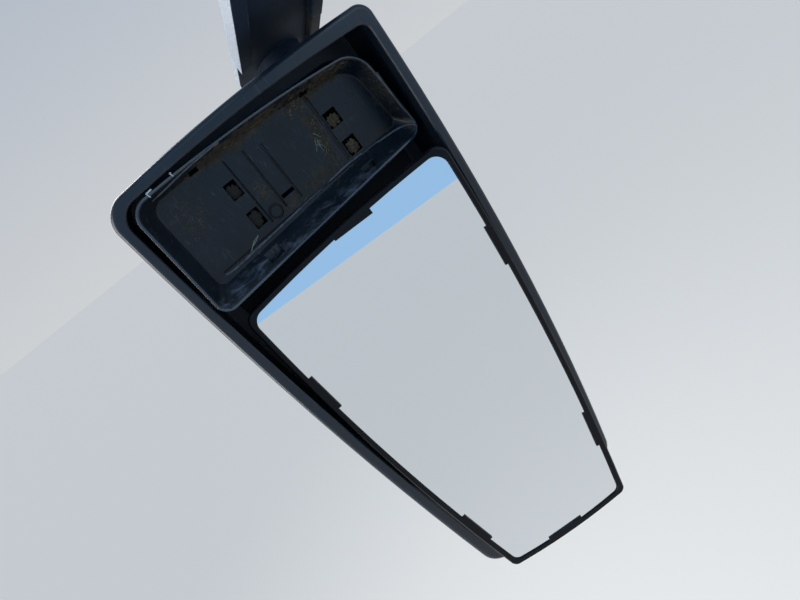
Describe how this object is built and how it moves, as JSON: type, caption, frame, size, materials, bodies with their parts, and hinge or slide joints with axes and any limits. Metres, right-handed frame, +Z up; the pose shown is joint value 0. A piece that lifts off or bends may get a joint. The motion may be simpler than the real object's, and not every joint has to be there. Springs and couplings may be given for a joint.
{
  "type": "combine harvester rear-view mirror on its folding arm",
  "caption": "Tall tapered two-pane rear-view mirror on a folding side arm and cab bracket, panes set by hand, the wide-angle glass missing from its tray",
  "frame": {"origin": "middle of the cab bracket's face, where it lies on the cab", "axes": "+X into the cab, square to the bracket's face; +Y forwards along the arm as set, away from the driver; +Z up"},
  "size_m": [0.251, 0.6845, 0.6575],
  "materials": {
    "bracket_paint": "satin black paint",
    "zinc_steel": "dull zinc plating",
    "arm_coat": "textured black coat, worn pale along its outer edge",
    "housing_plastic": "satin moulded black with light dust",
    "inner_plastic": "matt moulded black",
    "pivot_plastic": "greased grey nylon",
    "bezel_plastic": "glossy black",
    "mirror_glass": "silvered flat glass",
    "tray_plastic": "glossy blue-black, with dirt and straw left where its glass is missing"
  },
  "bodies": {
    "bracket": {"cab_bracket": "bracket_paint", "hinge_pin": "zinc_steel"},
    "arm_body": {"arm": "arm_coat", "head_post": "zinc_steel", "post_nut": "zinc_steel", "post_collar": "zinc_steel"},
    "head": {"head_bracket": "bracket_paint", "rear_shell": "housing_plastic", "front_frame": "housing_plastic", "chassis": "inner_plastic"},
    "main_swivel": {"main_pivot": "pivot_plastic"},
    "main_pane": {"main_carrier": "bezel_plastic", "main_glass": "mirror_glass"},
    "wide_swivel": {"wide_pivot": "pivot_plastic"},
    "wide_pane": {"wide_tray": "tray_plastic"}
  },
  "joints": [
    {"name": "arm_fold", "type": "hinge", "parent": "bracket", "child": "arm_body", "pos_m": [-0.06, 0, 0], "axis": [0, 0, 1], "range_deg": [0, 90]},
    {"name": "head_swivel", "type": "hinge", "parent": "arm_body", "child": "head", "pos_m": [-0.06, 0.592, -0.2], "axis": [0, 0, 1], "range_deg": [-30, 40]},
    {"name": "main_pan", "type": "hinge", "parent": "head", "child": "main_swivel", "pos_m": [-0.1325, 0.4755, -0.392], "axis": [0, 0, 1], "range_deg": [-1, 18]},
    {"name": "main_tilt", "type": "hinge", "parent": "main_swivel", "child": "main_pane", "pos_m": [-0.1325, 0.4755, -0.392], "axis": [0.9781, -0.2079, 0], "range_deg": [-2, 18]},
    {"name": "wide_pan", "type": "hinge", "parent": "head", "child": "wide_swivel", "pos_m": [-0.13, 0.522, -0.164], "axis": [0, 0, 1], "range_deg": [-8, 1]},
    {"name": "wide_tilt", "type": "hinge", "parent": "wide_swivel", "child": "wide_pane", "pos_m": [-0.13, 0.522, -0.164], "axis": [0.9925, 0.1219, 0], "range_deg": [-5, 5]}
  ]
}
